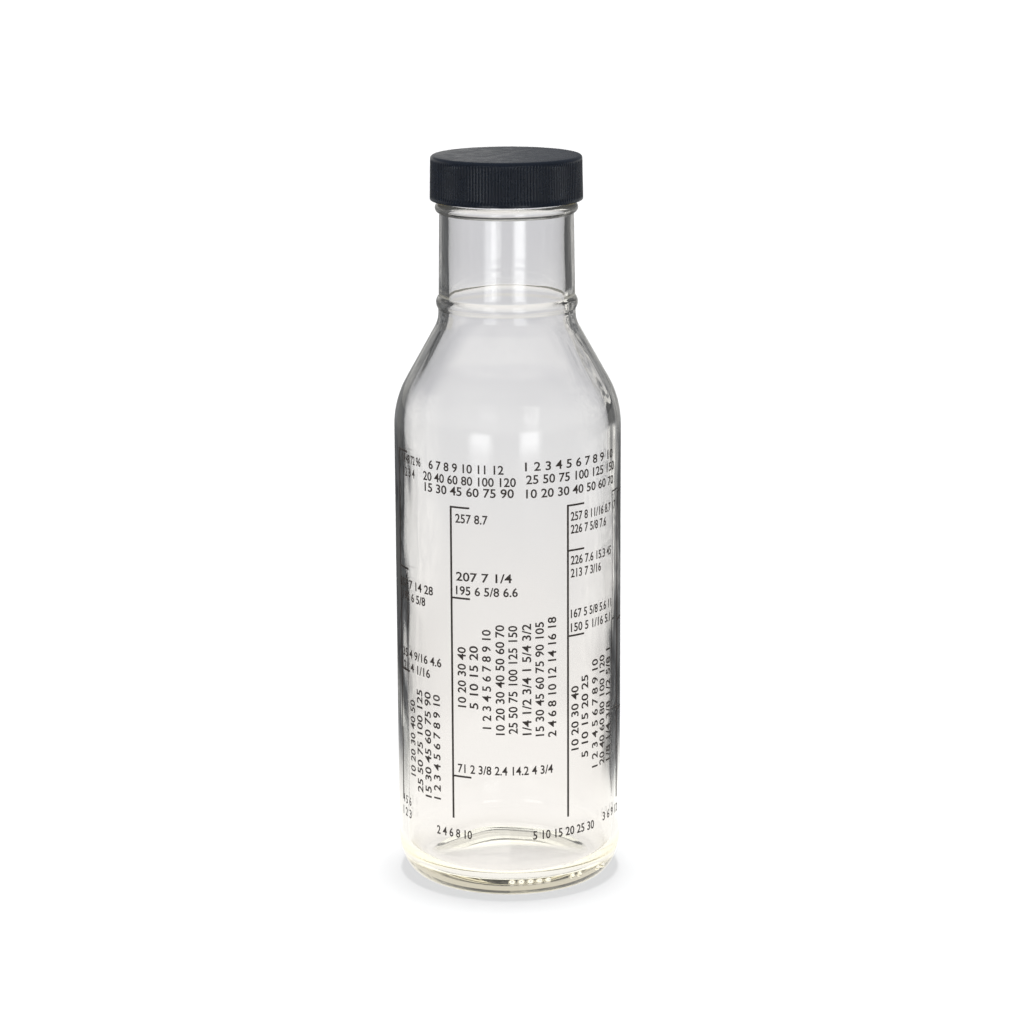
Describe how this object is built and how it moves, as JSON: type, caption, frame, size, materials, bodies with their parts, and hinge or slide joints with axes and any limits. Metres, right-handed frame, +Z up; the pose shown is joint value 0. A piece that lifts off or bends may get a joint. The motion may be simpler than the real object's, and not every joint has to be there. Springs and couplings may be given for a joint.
{
  "type": "salad dressing shaker bottle",
  "caption": "Clear glass shaker bottle for salad dressing, with a threaded neck, a ribbed black screw cap, a foam liner and dark printed fill lines.",
  "frame": {"origin": "on the bottle's axis, on the surface that it stands on", "axes": "+Z up the bottle's axis, from the base to the cap; -Y is the front, where the print is; +X is to the right"},
  "size_m": [0.0616, 0.0616, 0.1992],
  "materials": {
    "clear_glass": "clear, smooth, with a faint olive tint in its thick parts",
    "black_plastic": "moulded, satin, slightly blue black",
    "liner_foam": "white closed-cell foam",
    "dark_enamel": "fired-on dark enamel"
  },
  "bodies": {
    "bottle": {"glass_bottle": "clear_glass", "fill_scale_print": "dark_enamel"},
    "liner": {"cap_liner": "liner_foam"},
    "cap": {"screw_cap": "black_plastic"}
  },
  "joints": [
    {"name": "cap_lift", "type": "slide", "parent": "bottle", "child": "liner", "axis": [0, 0, 1], "range_m": [0, 0.0127]},
    {"name": "cap_turn", "type": "hinge", "parent": "liner", "child": "cap", "pos_m": [0, 0, 0.1873], "axis": [0, 0, 1], "range_deg": [0, 1080]}
  ],
  "couplings": [
    {"joint": "cap_lift", "follows": "cap_turn", "m_per_rad": 0.00067375}
  ]
}
